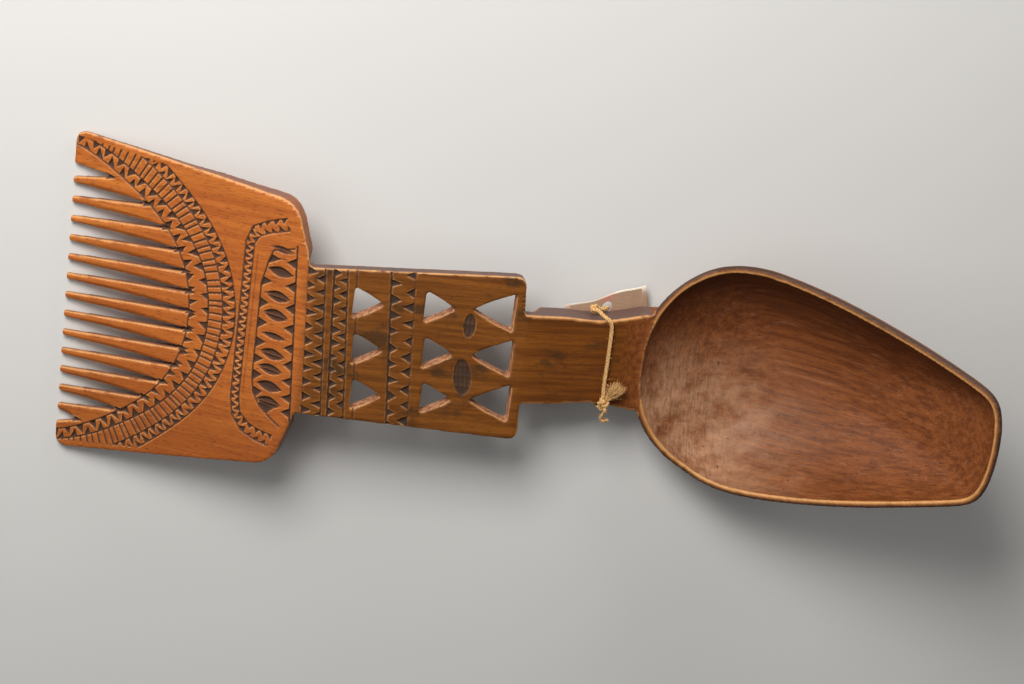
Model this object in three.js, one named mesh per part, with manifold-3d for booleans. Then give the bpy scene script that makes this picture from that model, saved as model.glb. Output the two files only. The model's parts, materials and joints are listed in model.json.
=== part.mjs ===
// A hand-carved wooden comb whose handle ends in a deep spoon.
// A card tag is tied round the neck of the spoon with twine.
//
// The design frame lies on the carved face: X runs from the teeth to the bowl, Y goes across,
// Z points up out of the carving, and the origin is in the middle of the bend between the comb
// and the handle block. The finished group lies carved face up, on the tips of the teeth and
// the belly of the bowl. Millimetres.

import * as THREE from 'three';
import { mergeVertices } from 'three/addons/utils/BufferGeometryUtils.js';
import Module from 'manifold-3d';

const wasm = await Module();
wasm.setup();

const { cos, sin, tan, abs, sign, sqrt, min, max, hypot, PI } = Math;
const DEG = PI / 180;

// ---------------------------------------------------------------- driving dimensions

const CLEARANCE = 0.3;            // between two pieces that touch

const COMB = {
  length: 71.9,                   // from the bend to the tips, along the comb
  halfWidthAtTips: 46.6,
  halfWidthAtShoulder: 38.9,
  shoulder: 11.5,                 // from the bend to where the shoulder starts
  shoulderRadius: 4.5,
  cornerRadius: 3.0,
  bend: 21.2 * DEG,               // the comb leans back from the handle block
  tipThickness: 1.7,
  shoulderThickness: 5.4,
};

const TEETH = {
  count: 13,
  pitch: 5.62,
  offset: -1.1,                   // the row sits a little off the middle
  tipWidth: 1.6,
  slit: 0.9,                      // width of a gap at its root
  rootRadius: 36.9,               // the roots lie on an arc about the middle of the tips
};

const BLOCK = {
  length: 60.6,
  halfWidthAtBend: 21.3,
  halfWidthAtNeck: 24.1,
  thickness: 4.7,
  cornerRadius: 3.0,
  endSkew: 1.7,                   // the far end is cut a little out of square
};

// Three columns of three openings through the block. The first two point to the neck and the
// third points back at the second. The columns share the length that the solid bars leave.
const OPENINGS = {
  barBeforeFirst: 12.6,
  barBeforeSecond: 11.3,
  gapBetweenPoints: 4.9,
  barAfterThird: 2.9,
  shares: [0.295, 0.295, 0.41],
  rowPitch: 13.4,
  rowOffset: -1.3,
  rowShifts: [0.4, 1.0, 1.4],     // each column sits a little higher than the last
  halfHeights: [4.6, 4.6, 5.6],
  skew: 0.08,                     // the columns lean with the block's far end
};

const NECK = {
  halfWidthAtBlock: 13.2,
  waistHalfWidth: 12.5,
  halfWidthAtBowl: 14.6,
  thickness: 9.0,
  length: 35.0,                   // from the block to the bowl's inner edge
  slope: 9.3 * DEG,
};

const BOWL = {
  length: 104.3,                  // along the rim
  widestFromNeck: 31.6,
  halfWidth: 33.9,
  taper: 0.568,                   // how much the bowl narrows before its tip
  taperPower: 1.5,                // higher keeps its width for longer
  depth: 24.5,                    // rim to the outside of the belly
  wall: 3.0,
  rimWidth: 1.9,
  pitch: 33.3 * DEG,              // the rim rises towards the tip
  neckLip: 8.4,                   // the rim climbs this far to meet the neck
  tipLip: 1.6,
  neckSquareness: 2.25,           // 2 would be an ellipse
  tipSquareness: 40,              // higher is a flatter end with tighter corners
};

const TWINE = { diameter: 1.25, knot: 3.0, fromBlock: 24.8 };

const TAG = {
  width: 25,
  height: 20,
  thickness: 0.5,
  cornerRadius: 1.2,
  holeRadius: 2.0,
  holeFromEdge: 3.3,
  holeAhead: 1.6,                 // the hole lies a little nearer the bowl than the twine
  lean: 14 * DEG,                 // how far the tag hangs out of square with the neck
};

// ---------------------------------------------------------------- helpers

function material(colour, roughness) {
  return new THREE.MeshStandardMaterial({ color: colour, roughness, metalness: 0 });
}

// Drops normals and texture coordinates and joins the shared vertices.
function welded(geometry) {
  const plain = geometry.clone();
  plain.deleteAttribute('normal');
  plain.deleteAttribute('uv');
  return mergeVertices(plain, 1e-4);
}

function toSolid(geometry) {
  const plain = welded(geometry);
  return new wasm.Manifold(new wasm.Mesh({
    numProp: 3,
    vertProperties: new Float32Array(plain.attributes.position.array),
    triVerts: new Uint32Array(plain.index.array),
  }));
}

function toGeometry(solid) {
  const mesh = solid.getMesh();
  const geometry = new THREE.BufferGeometry();
  geometry.setAttribute('position', new THREE.Float32BufferAttribute(mesh.vertProperties, 3));
  geometry.setIndex(Array.from(mesh.triVerts));
  geometry.computeVertexNormals();
  return geometry;
}

// A flat outline given depth along +Z, starting at z.
function slab(shape, z, depth, curveSegments = 6) {
  const geometry = new THREE.ExtrudeGeometry(shape, { depth, bevelEnabled: false, curveSegments });
  return geometry.translate(0, 0, z);
}

function place(mesh, x, y, z) {
  mesh.position.set(x, y, z);
  return mesh;
}

// ---------------------------------------------------------------- the wood, seen from above

const combSpan = COMB.length * cos(COMB.bend);
const combDrop = COMB.length * sin(COMB.bend);
const blockEnd = BLOCK.length;
const neckEnd = blockEnd + NECK.length;
const neckRun = neckEnd + 20;     // the neck runs on into the bowl's wall

// The edge on the +Y side, from the comb's corner to the neck, as a list of points.
// Side is 1 for +Y and -1 for -Y, where the skewed end of the block reaches further.
function sideEdge(side) {
  const shoulderX = -COMB.shoulder * cos(COMB.bend);
  const endX = blockEnd - side * BLOCK.endSkew;
  const path = new THREE.Path();
  path.moveTo(-combSpan, COMB.halfWidthAtTips - COMB.cornerRadius);
  path.quadraticCurveTo(
    -combSpan, COMB.halfWidthAtTips,
    -combSpan + COMB.cornerRadius, COMB.halfWidthAtTips,
  );
  const middleX = (-combSpan + shoulderX) / 2;
  const middleY = (COMB.halfWidthAtTips + COMB.halfWidthAtShoulder) / 2 + 0.6;
  path.quadraticCurveTo(middleX, middleY, shoulderX, COMB.halfWidthAtShoulder);
  path.quadraticCurveTo(
    shoulderX + COMB.shoulderRadius * 0.8, COMB.halfWidthAtShoulder - COMB.shoulderRadius * 0.2,
    shoulderX + COMB.shoulderRadius * 1.2, COMB.halfWidthAtShoulder - COMB.shoulderRadius,
  );
  path.lineTo(-1.2, BLOCK.halfWidthAtBend);
  path.lineTo(endX - BLOCK.cornerRadius, BLOCK.halfWidthAtNeck);
  path.quadraticCurveTo(
    endX, BLOCK.halfWidthAtNeck,
    endX, BLOCK.halfWidthAtNeck - BLOCK.cornerRadius,
  );
  path.lineTo(endX + side * BLOCK.endSkew * 0.4, NECK.halfWidthAtBlock);
  path.splineThru([
    new THREE.Vector2(blockEnd + NECK.length * 0.3, NECK.halfWidthAtBlock - 0.1),
    new THREE.Vector2(blockEnd + NECK.length * 0.65, NECK.waistHalfWidth),
    new THREE.Vector2(neckEnd, NECK.halfWidthAtBowl),
  ]);
  path.lineTo(neckRun, NECK.halfWidthAtBowl);
  return path.getPoints(5).map((p) => new THREE.Vector2(p.x, side * p.y));
}

// The row of teeth, from the -Y corner to the +Y corner.
function toothRow() {
  const points = [];
  const firstGap = TEETH.offset - TEETH.pitch * TEETH.count / 2;
  const mouth = TEETH.pitch - TEETH.tipWidth;
  for (let i = 0; i <= TEETH.count; i += 1) {
    const y = firstGap + i * TEETH.pitch;
    const reach = sqrt(max(TEETH.rootRadius ** 2 - y ** 2, 0));
    const root = max(reach, TEETH.rootRadius * 0.15) * cos(COMB.bend) - combSpan;
    points.push(new THREE.Vector2(-combSpan, y - mouth / 2));
    points.push(new THREE.Vector2(root, y - TEETH.slit / 2));
    points.push(new THREE.Vector2(root, y + TEETH.slit / 2));
    points.push(new THREE.Vector2(-combSpan, y + mouth / 2));
  }
  return points;
}

// Where each column's base line lies, how far it points from there, and its shift across.
function openingColumns() {
  const { barBeforeFirst, barBeforeSecond, gapBetweenPoints, barAfterThird } = OPENINGS;
  const bars = barBeforeFirst + barBeforeSecond + gapBetweenPoints + barAfterThird;
  const depths = OPENINGS.shares.map((share) => share * (BLOCK.length - bars));
  const bases = [
    barBeforeFirst,
    barBeforeFirst + depths[0] + barBeforeSecond,
    BLOCK.length - barAfterThird,
  ];
  const towards = [1, 1, -1];
  return bases.map((base, i) => (
    {
      base,
      depth: depths[i] * towards[i],
      shift: OPENINGS.rowShifts[i],
      halfHeight: OPENINGS.halfHeights[i],
    }
  ));
}

// One opening: a triangle with slightly bowed sides, its base on one side and its point ahead.
function openingHole(column, row) {
  const y = OPENINGS.rowOffset + (row - 1) * OPENINGS.rowPitch + column.shift;
  const x = column.base - y * OPENINGS.skew;
  const h = column.halfHeight * sign(column.depth);
  const hole = new THREE.Path();
  hole.moveTo(x, y - h);
  hole.quadraticCurveTo(x + column.depth * 0.6, y - h * 0.55, x + column.depth, y);
  hole.quadraticCurveTo(x + column.depth * 0.6, y + h * 0.55, x, y + h);
  return hole;
}

function planSolid(top, bottom) {
  const outline = [...sideEdge(-1).reverse(), ...toothRow(), ...sideEdge(1)];
  const shape = new THREE.Shape(outline);
  for (const column of openingColumns()) {
    for (const row of [0, 1, 2]) shape.holes.push(openingHole(column, row));
  }
  return toSolid(slab(shape, bottom, top - bottom, 4));
}

// ---------------------------------------------------------------- the wood, seen from the side

const neckTop = (x) => -(x - blockEnd) * tan(NECK.slope);

function sideSolid() {
  const { bend, tipThickness, shoulderThickness } = COMB;
  const bellyStart = blockEnd + BLOCK.endSkew;
  const neckBottom = (x) => neckTop(x) - NECK.thickness / cos(NECK.slope);
  const profile = new THREE.Shape([
    new THREE.Vector2(-combSpan - tipThickness, -combDrop - tipThickness * tan(bend)),
    new THREE.Vector2(0, 0),
    new THREE.Vector2(blockEnd, 0),
    new THREE.Vector2(neckRun, neckTop(neckRun)),
    new THREE.Vector2(neckRun, neckBottom(neckRun)),
    new THREE.Vector2(bellyStart + 2.5, neckBottom(bellyStart + 2.5)),
    new THREE.Vector2(bellyStart, -BLOCK.thickness),
    new THREE.Vector2(BLOCK.thickness * tan(bend / 2), -BLOCK.thickness),
    new THREE.Vector2(
      -COMB.shoulder * cos(bend) + shoulderThickness * sin(bend),
      -COMB.shoulder * sin(bend) - shoulderThickness * cos(bend),
    ),
    new THREE.Vector2(
      -combSpan - tipThickness + tipThickness * sin(bend),
      -combDrop - tipThickness * tan(bend) - tipThickness * cos(bend),
    ),
  ]);
  const wide = 2 * COMB.halfWidthAtTips + 10;
  const geometry = slab(profile, -wide / 2, wide);
  return toSolid(geometry.rotateX(PI / 2));
}

// ---------------------------------------------------------------- the bowl

// The bowl's own frame lies on its rim: +X points to the tip and +Z out of the hollow.
const bowlTurn = new THREE.Matrix4().makeRotationY(-BOWL.pitch);
const bowlStart = new THREE.Vector3(neckEnd - 1.3, 0, neckTop(neckEnd) - 0.4);

// A point of the rim's outline. Turn runs from 0 at the tip to PI at the neck.
function rimPoint(turn) {
  const ahead = cos(turn);
  const side = sin(turn);
  if (ahead >= 0) {
    const halfWidth = BOWL.halfWidth * (1 - BOWL.taper * ahead ** BOWL.taperPower);
    return new THREE.Vector2(
      BOWL.widestFromNeck + (BOWL.length - BOWL.widestFromNeck) * ahead,
      sign(side) * halfWidth * sqrt(max(1 - ahead ** BOWL.tipSquareness, 0)),
    );
  }
  const power = 2 / BOWL.neckSquareness;
  return new THREE.Vector2(
    BOWL.widestFromNeck * (1 - abs(ahead) ** power),
    BOWL.halfWidth * sign(side) * abs(side) ** power,
  );
}

// The rim moved inwards by a width, square to its outline.
function insetPoint(turn, inset) {
  const step = 1e-3;
  const along = rimPoint(turn + step).sub(rimPoint(turn - step)).normalize();
  return rimPoint(turn).add(new THREE.Vector2(-along.y, along.x).multiplyScalar(inset));
}

// How far the rim stands above its own plane, at a distance from the neck.
function rimLift(x) {
  const neckReach = 17;
  const tipStart = BOWL.length * 0.73;
  const towardsNeck = max(neckReach - x, 0) / neckReach;
  const towardsTip = max(x - tipStart, 0) / (BOWL.length - tipStart);
  return BOWL.neckLip * towardsNeck ** 1.2 + BOWL.tipLip * towardsTip ** 2;
}

// A sphere shaped to the rim: below the rim it bulges by depth, above it by height.
function bowlShape(inset, depth, height) {
  const middle = BOWL.widestFromNeck * 1.25;
  const geometry = welded(new THREE.SphereGeometry(1, 72, 26));
  const position = geometry.attributes.position;
  for (let i = 0; i < position.count; i += 1) {
    const up = position.getY(i);
    const turn = Math.atan2(position.getZ(i), position.getX(i));
    const out = hypot(position.getX(i), position.getZ(i));
    const rim = insetPoint(turn, inset);
    const lift = rimLift(rim.x) * out ** 2;
    position.setXYZ(
      i,
      middle + (rim.x - middle) * out,
      rim.y * out,
      lift + (up < 0 ? -depth * abs(up) ** 1.15 : height * up),
    );
  }
  // The sphere's poles lay along Y, so the faces are turned back to point outwards.
  const index = geometry.index.array;
  for (let i = 0; i < index.length; i += 3) {
    [index[i], index[i + 1]] = [index[i + 1], index[i]];
  }
  geometry.applyMatrix4(bowlTurn);
  const neckRise = new THREE.Vector3(0, 0, rimLift(0)).applyMatrix4(bowlTurn);
  geometry.translate(bowlStart.x - neckRise.x, 0, bowlStart.z - neckRise.z);
  return toSolid(geometry);
}

function carvedWood() {
  const plate = sideSolid().intersect(planSolid(5, -combDrop - 15));
  const bowl = bowlShape(0, BOWL.depth, 0.4);
  const hollow = bowlShape(BOWL.rimWidth, BOWL.depth - BOWL.wall, 30);
  const mesh = new THREE.Mesh(
    toGeometry(plate.add(bowl).subtract(hollow)),
    material(0x7a4b2c, 0.55),
  );
  mesh.name = 'carved_comb_spoon';
  return mesh;
}

// ---------------------------------------------------------------- twine and tag

// The twine's own frame lies on the neck's upper face where the twine crosses it:
// +X runs down the neck to the bowl, +Z out of the face.
const twineX = blockEnd + TWINE.fromBlock;
const strandRadius = TWINE.diameter / 2;
const overFace = CLEARANCE + strandRadius;
const besideNeck = NECK.waistHalfWidth + 0.15 + CLEARANCE + strandRadius;
const tagTop = -NECK.thickness - CLEARANCE;
const underTag = tagTop - TAG.thickness - CLEARANCE - strandRadius;
const sideKnot = new THREE.Vector3(-4.2, besideNeck + 1.0, -4.6);
const frontKnot = new THREE.Vector3(0.4, -NECK.waistHalfWidth + 1.0, overFace + 0.9);

function strand(name, points) {
  const section = new THREE.Shape();
  section.absarc(0, 0, strandRadius, 0, 2 * PI);
  const curve = new THREE.CatmullRomCurve3(points.map((p) => new THREE.Vector3(...p)));
  const geometry = new THREE.ExtrudeGeometry(section, {
    steps: points.length * 3,
    curveSegments: 4,
    bevelEnabled: false,
    extrudePath: curve,
  });
  const mesh = new THREE.Mesh(welded(geometry), material(0xa98a62, 0.95));
  mesh.name = name;
  return mesh;
}

function knot(name, centre, radius) {
  const geometry = welded(new THREE.SphereGeometry(radius, 10, 8));
  const mesh = new THREE.Mesh(geometry, material(0xa98a62, 0.95));
  mesh.name = name;
  mesh.position.copy(centre);
  return mesh;
}

function twinePieces() {
  const knotRadius = TWINE.knot / 2;
  const off = knotRadius + CLEARANCE + strandRadius * 0.4;
  const front = strand('front_strand', [
    [sideKnot.x + 0.7, sideKnot.y, sideKnot.z + off],
    [sideKnot.x + 1.6, besideNeck + 0.2, -0.9],
    [-1.6, besideNeck - 0.4, overFace * 0.9],
    [-0.4, besideNeck - 2.6, overFace + 0.1],
    [0, 2, overFace],
    [0.1, -6, overFace],
    [0.3, frontKnot.y + off + 0.2, overFace],
  ]);
  const back = strand('back_strand', [
    [frontKnot.x, frontKnot.y - off, overFace + 0.2],
    [0.3, -besideNeck - 0.1, -0.6],
    [0, -besideNeck - 0.1, -NECK.thickness / 2],
    [0, -besideNeck + 0.2, -NECK.thickness - 0.3],
    [0, -besideNeck + 2.4, underTag],
    [0, 0, underTag],
    [TAG.holeAhead * 0.6, besideNeck - 2.8, underTag],
    [TAG.holeAhead, besideNeck - 0.3, underTag + 0.6],
    [TAG.holeAhead, besideNeck, tagTop + 0.4],
    [-0.6, besideNeck + 0.1, tagTop + 2.4],
    [sideKnot.x + 0.5, sideKnot.y, sideKnot.z - off],
  ]);
  const tail = strand('string_tail', [
    [frontKnot.x + 0.4, frontKnot.y - off - 0.1, frontKnot.z + 1.2],
    [frontKnot.x + 0.5, -besideNeck - 1.1, overFace + 0.9],
    [frontKnot.x + 0.3, -besideNeck - 3.2, 0.5],
  ]);
  const tuft = new THREE.Mesh(
    welded(new THREE.ConeGeometry(2.3, 6.4, 10)),
    material(0xb59a74, 1.0),
  );
  tuft.name = 'frayed_tuft';
  tuft.rotation.set(0, 0, -40 * DEG + PI);
  place(tuft, frontKnot.x + 3.7, frontKnot.y + 4.1, CLEARANCE + 2.3);
  return [
    front, back, tail, tuft,
    knot('side_knot', sideKnot, knotRadius),
    knot('front_knot', frontKnot, knotRadius),
  ];
}

// The card, with its hole at its own origin.
function paperTag() {
  const { width, height, cornerRadius: r } = TAG;
  const high = TAG.holeFromEdge;
  const low = high - height;
  const half = width / 2;
  const card = new THREE.Shape();
  card.moveTo(-half + r, low);
  card.lineTo(half - r, low);
  card.quadraticCurveTo(half, low, half, low + r);
  card.lineTo(half, high - r);
  card.quadraticCurveTo(half, high, half - r, high);
  card.lineTo(-half + r, high);
  card.quadraticCurveTo(-half, high, -half, high - r);
  card.lineTo(-half, low + r);
  card.quadraticCurveTo(-half, low, -half + r, low);
  const hole = new THREE.Path();
  hole.absarc(0, 0, TAG.holeRadius, 0, 2 * PI, true);
  card.holes.push(hole);
  const mesh = new THREE.Mesh(
    welded(slab(card, -TAG.thickness, TAG.thickness, 8)),
    material(0xe9dcc0, 0.9),
  );
  mesh.name = 'paper_tag';
  mesh.rotation.z = TAG.lean;
  return place(mesh, TAG.holeAhead, besideNeck, tagTop);
}

// ---------------------------------------------------------------- assembly

// The tilt that puts both the comb and the bowl on the surface below.
function restingTilt(wood) {
  const position = wood.geometry.attributes.position;
  let slope = 0;
  for (let round = 0; round < 8; round += 1) {
    const lowest = [null, null];
    for (let i = 0; i < position.count; i += 1) {
      const x = position.getX(i);
      const z = position.getZ(i);
      const end = x < blockEnd ? 0 : 1;
      if (!lowest[end] || z - slope * x < lowest[end].z - slope * lowest[end].x) {
        lowest[end] = { x, z };
      }
    }
    slope = (lowest[1].z - lowest[0].z) / (lowest[1].x - lowest[0].x);
  }
  return Math.atan(slope);
}

const wood = carvedWood();

const twineFrame = new THREE.Group();
twineFrame.add(...twinePieces(), paperTag());
twineFrame.rotation.y = NECK.slope;
place(twineFrame, twineX, 0, neckTop(twineX));

const design = new THREE.Group();
design.add(wood, twineFrame);
design.rotation.y = restingTilt(wood);

const group = new THREE.Group();
group.add(design);
group.updateMatrixWorld(true);
const box = new THREE.Box3().setFromObject(wood, true);
const middle = box.getCenter(new THREE.Vector3());
place(design, -middle.x, -middle.y, -box.min.z);
group.updateMatrixWorld(true);

export default group;
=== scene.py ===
# %% [markdown]
# # A carved wooden comb that ends in a spoon
#
# The object is one piece of hardwood: a wide comb with thirteen teeth, a flat
# block pierced by nine openings, a short neck and a deep spoon bowl. A loop of
# twine round the neck holds a small paper tag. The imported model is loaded
# first, because every piece made here is fitted to it.

# %% Load the frame
import json
import math
import bpy
import bmesh
import numpy as np
from mathutils import Matrix, Vector, noise


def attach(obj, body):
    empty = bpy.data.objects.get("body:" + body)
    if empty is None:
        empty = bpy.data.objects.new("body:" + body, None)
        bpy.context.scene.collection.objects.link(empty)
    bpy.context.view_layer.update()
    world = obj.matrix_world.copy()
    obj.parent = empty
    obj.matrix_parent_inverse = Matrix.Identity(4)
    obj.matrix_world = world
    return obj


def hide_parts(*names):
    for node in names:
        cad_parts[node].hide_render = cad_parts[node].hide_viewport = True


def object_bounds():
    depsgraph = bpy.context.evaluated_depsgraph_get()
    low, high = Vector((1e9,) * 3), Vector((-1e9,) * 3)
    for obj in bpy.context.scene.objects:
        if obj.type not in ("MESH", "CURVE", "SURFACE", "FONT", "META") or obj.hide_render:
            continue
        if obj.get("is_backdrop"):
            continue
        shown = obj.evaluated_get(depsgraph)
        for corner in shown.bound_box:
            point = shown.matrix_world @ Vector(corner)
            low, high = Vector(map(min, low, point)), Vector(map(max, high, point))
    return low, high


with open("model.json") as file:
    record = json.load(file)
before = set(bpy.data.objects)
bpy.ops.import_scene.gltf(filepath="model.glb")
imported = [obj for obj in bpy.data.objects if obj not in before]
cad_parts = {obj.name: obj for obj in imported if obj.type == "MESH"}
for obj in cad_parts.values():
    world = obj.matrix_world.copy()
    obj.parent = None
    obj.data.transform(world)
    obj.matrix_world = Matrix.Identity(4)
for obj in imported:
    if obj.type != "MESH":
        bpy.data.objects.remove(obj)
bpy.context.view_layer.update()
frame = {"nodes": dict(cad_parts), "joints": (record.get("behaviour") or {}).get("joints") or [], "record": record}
scene = bpy.context.scene
MM = 0.001
print("frame:", sorted(frame["nodes"]))

# %% [markdown]
# ## The camera
#
# The camera looks down on the carved face from above the far edge, with the
# comb on the left. It is turned round its own axis so that the wood's +Y side
# is up in the view. An aim point, a direction and a distance say more to a
# reader than a matrix, so the rotation is worked out from them.

# %% Place the camera
AIM = Vector((-2.86, 4.7, 20.0)) * MM
TOWARDS_CAMERA = Vector((-0.1214, 0.3163, 0.9409)).normalized()
VIEW_UP = Vector((-0.1024, 0.9388, -0.3289))
CAMERA_DISTANCE = 576.4 * MM

camera = bpy.data.objects.new("camera", bpy.data.cameras.new("camera"))
scene.collection.objects.link(camera)
camera.data.sensor_width = 36
camera.data.lens = 72.3
camera.data.clip_start = 0.01


def facing(back, up):
    """A rotation whose Z is back and whose Y is as near to up as it can be."""
    z = back.normalized()
    x = up.cross(z).normalized()
    return Matrix((x, z.cross(x), z)).transposed().to_4x4()


camera.matrix_world = Matrix.Translation(
    AIM + TOWARDS_CAMERA * CAMERA_DISTANCE
) @ facing(TOWARDS_CAMERA, VIEW_UP)
scene.camera = camera
print("camera at", [round(v, 4) for v in camera.location])

# %% [markdown]
# ## Floor and light
#
# A studio picture of small woodwork uses a few large soft lamps. The main one
# stands beyond the far edge, so the faces on the wood's far side catch light
# and the far wall of the bowl falls into shade. A weak one fills from the
# front left, and a pale floor carries the soft shadow.

# %% Make the floor
FLOOR_SIZE = 6.0
FLOOR_GREY = 0.60


def mesh_object(name, vertices, faces, smooth=True):
    mesh = bpy.data.meshes.new(name)
    mesh.from_pydata([tuple(v) for v in vertices], [], [tuple(f) for f in faces])
    mesh.update()
    if smooth:
        mesh.polygons.foreach_set("use_smooth", [True] * len(mesh.polygons))
    piece = bpy.data.objects.new(name, mesh)
    scene.collection.objects.link(piece)
    return piece


half_floor = FLOOR_SIZE / 2
floor = mesh_object(
    "floor",
    [(-half_floor, -half_floor, 0), (half_floor, -half_floor, 0),
     (half_floor, half_floor, 0), (-half_floor, half_floor, 0)],
    [(0, 1, 2, 3)],
)
floor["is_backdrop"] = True

# %% Make the lamps
LAMPS = {
    # name: (place in m, size in m, watts, colour)
    "main_lamp": ((-0.20, 0.38, 0.40), 0.26, 3.9, (1.0, 0.97, 0.93)),
    "fill_lamp": ((-0.42, 0.10, 0.60), 0.50, 0.9, (1.0, 0.98, 0.96)),
    "edge_lamp": ((0.30, 0.55, 0.16), 0.25, 1.2, (1.0, 0.98, 0.95)),
}
for name, (place, size, watts, colour) in LAMPS.items():
    light = bpy.data.lights.new(name, "AREA")
    light.size = size
    light.energy = watts
    light.color = colour
    lamp = bpy.data.objects.new(name, light)
    scene.collection.objects.link(lamp)
    lamp.location = place
    lamp.rotation_euler = (Vector(place) - AIM).to_track_quat("Z", "Y").to_euler()

world = bpy.data.worlds.new("studio")
world.use_nodes = True
world.node_tree.nodes["Background"].inputs["Color"].default_value = (1.0, 0.98, 0.95, 1)
world.node_tree.nodes["Background"].inputs["Strength"].default_value = 0.10
scene.world = world
scene.view_settings.view_transform = "Standard"
print("lamps:", sorted(LAMPS))

# %% [markdown]
# ## A small language for shader sums
#
# Materials are sums of noises and masks. Wrapping a node's output in a class
# with operators lets a material read like the sum that it is: `1 - mask` adds
# the Math node. Colours never go through Math nodes, because those turn them
# grey, so they are mixed by a Mix node.

# %% Wrap a socket


class Value:
    """An output socket that can be added, scaled and compared."""

    def __init__(self, shader, socket):
        self.shader = shader
        self.socket = socket

    def maths(self, operation, first, second=0.0):
        settings = {"operation": operation}
        return self.shader.add("ShaderNodeMath", settings, {0: first, 1: second})

    def __add__(self, other):
        return self.maths("ADD", self, other)

    def __sub__(self, other):
        return self.maths("SUBTRACT", self, other)

    def __rsub__(self, other):
        return self.maths("SUBTRACT", other, self)

    def __mul__(self, other):
        return self.maths("MULTIPLY", self, other)

    def __pow__(self, other):
        return self.maths("POWER", self, other)

    def clipped(self):
        return self.shader.add(
            "ShaderNodeMath", {"operation": "MULTIPLY", "use_clamp": True}, {0: self, 1: 1.0}
        )

    __radd__ = __add__
    __rmul__ = __mul__


# %% Build a material's nodes


class Shader:
    """A material whose nodes are added one call at a time."""

    def __init__(self, name):
        self.material = bpy.data.materials.new(name)
        self.material.use_nodes = True
        self.tree = self.material.node_tree
        self.tree.nodes.clear()

    def add(self, kind, settings=None, sockets=None, output=0):
        node = self.tree.nodes.new(kind)
        for key, value in (settings or {}).items():
            setattr(node, key, value)
        for key, value in (sockets or {}).items():
            if isinstance(value, Value):
                self.tree.links.new(value.socket, node.inputs[key])
            else:
                node.inputs[key].default_value = value
        return None if output is None else Value(self, node.outputs[output])

    def mix(self, mask, first, second, blend="MIX"):
        settings = {"data_type": "RGBA", "blend_type": blend}
        return self.add("ShaderNodeMix", settings, {0: mask, 6: first, 7: second}, 2)

    def place(self, stretch=(1, 1, 1)):
        """The point's own position in millimetres, stretched along each axis."""
        point = self.add("ShaderNodeTexCoord", output=3)
        factors = tuple(1000 * s for s in stretch)
        settings = {"operation": "MULTIPLY"}
        return self.add("ShaderNodeVectorMath", settings, {0: point, 1: factors})

    def noise(self, stretch, detail=3.0, roughness=0.5, distortion=0.0):
        sockets = {
            "Vector": self.place(stretch), "Scale": 1.0, "Detail": detail,
            "Roughness": roughness, "Distortion": distortion,
        }
        return self.add("ShaderNodeTexNoise", None, sockets)

    def between(self, value, low, high):
        """0 below low, 1 above high, smooth between."""
        sockets = {"Value": value, "From Min": low, "From Max": high}
        return self.add("ShaderNodeMapRange", {"interpolation_type": "SMOOTHSTEP"}, sockets)

    def stored(self, name):
        return self.add("ShaderNodeAttribute", {"attribute_name": name}, output=2)

    def along(self, axis):
        return self.add("ShaderNodeSeparateXYZ", None, {0: self.place()}, "XYZ".index(axis))

    def grain(self, stretch, detail=3.0, roughness=0.5, distortion=0.0):
        """Noise that follows the piece's own length, where grain_place is stored in mm."""
        place = self.add("ShaderNodeAttribute", {"attribute_name": "grain_place"}, output=1)
        settings = {"operation": "MULTIPLY"}
        place = self.add("ShaderNodeVectorMath", settings, {0: place, 1: stretch})
        sockets = {
            "Vector": place, "Scale": 1.0, "Detail": detail,
            "Roughness": roughness, "Distortion": distortion,
        }
        return self.add("ShaderNodeTexNoise", None, sockets)

    def finish(self, sockets, bumps=()):
        """Ends in a Principled shader; each bump is (height, strength, distance)."""
        normal = None
        for height, strength, distance in bumps:
            links = {"Height": height, "Strength": strength, "Distance": distance}
            if normal is not None:
                links["Normal"] = normal
            normal = self.add("ShaderNodeBump", None, links)
        if normal is not None:
            sockets = {**sockets, "Normal": normal}
        surface = self.add("ShaderNodeBsdfPrincipled", None, sockets)
        self.add("ShaderNodeOutputMaterial", None, {"Surface": surface}, None)
        return self.material


def rgb(red, green, blue):
    """A colour given in 0 to 255 as seen, turned into light."""
    def light(c):
        c /= 255
        return c / 12.92 if c <= 0.04045 else ((c + 0.055) / 1.055) ** 2.4
    return (light(red), light(green), light(blue), 1.0)


floor_paint = Shader("pale_floor")
floor_tone = floor_paint.noise((0.01, 0.01, 0.01), 2)
floor.data.materials.append(floor_paint.finish({
    "Base Color": floor_paint.mix(
        floor_tone,
        (FLOOR_GREY, FLOOR_GREY, FLOOR_GREY * 0.99, 1),
        (FLOOR_GREY * 1.04, FLOOR_GREY * 1.04, FLOOR_GREY * 1.03, 1),
    ),
    "Roughness": 0.8,
}))
print("floor painted")

# %% [markdown]
# ## Where the carver's lines lie
#
# The carving was laid out on a flat face, so it is easiest to describe on the
# wood's own face: u runs along the comb and block, with 0 at the bend between
# them, y runs across, and h is the height above the face. The frame's mount on
# the block's face gives the tilt and the place of the bend.

# %% Find the carved faces
MOUNT_FROM_BEND = 26.0
BEND = math.radians(21.2)
NECK_SLOPE = math.radians(9.3)
BLOCK_LENGTH = 60.6
BLOCK_HALF_WIDTH = 21.3
LAST_COLUMN_MIDDLE = 54.0
COMB_LENGTH = 71.9
TIP_HALF_WIDTH = 46.6
SHOULDER_HALF_WIDTH = 38.9
SHOULDER = 11.5

mount = next(m for m in frame["record"]["mounts"] if m["name"] == "handle_front")
face_normal = np.array(mount["axis"])
block_ahead = np.array([face_normal[2], 0, -face_normal[0]])
bend_point = np.array(mount["pos_m"]) / MM - MOUNT_FROM_BEND * block_ahead


def laid_flat(points):
    """Turns points in mm to the block's own axes, from the bend."""
    from_bend = points - bend_point
    return np.stack(
        [from_bend @ block_ahead, from_bend[:, 1], from_bend @ face_normal], axis=1
    )


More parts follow.
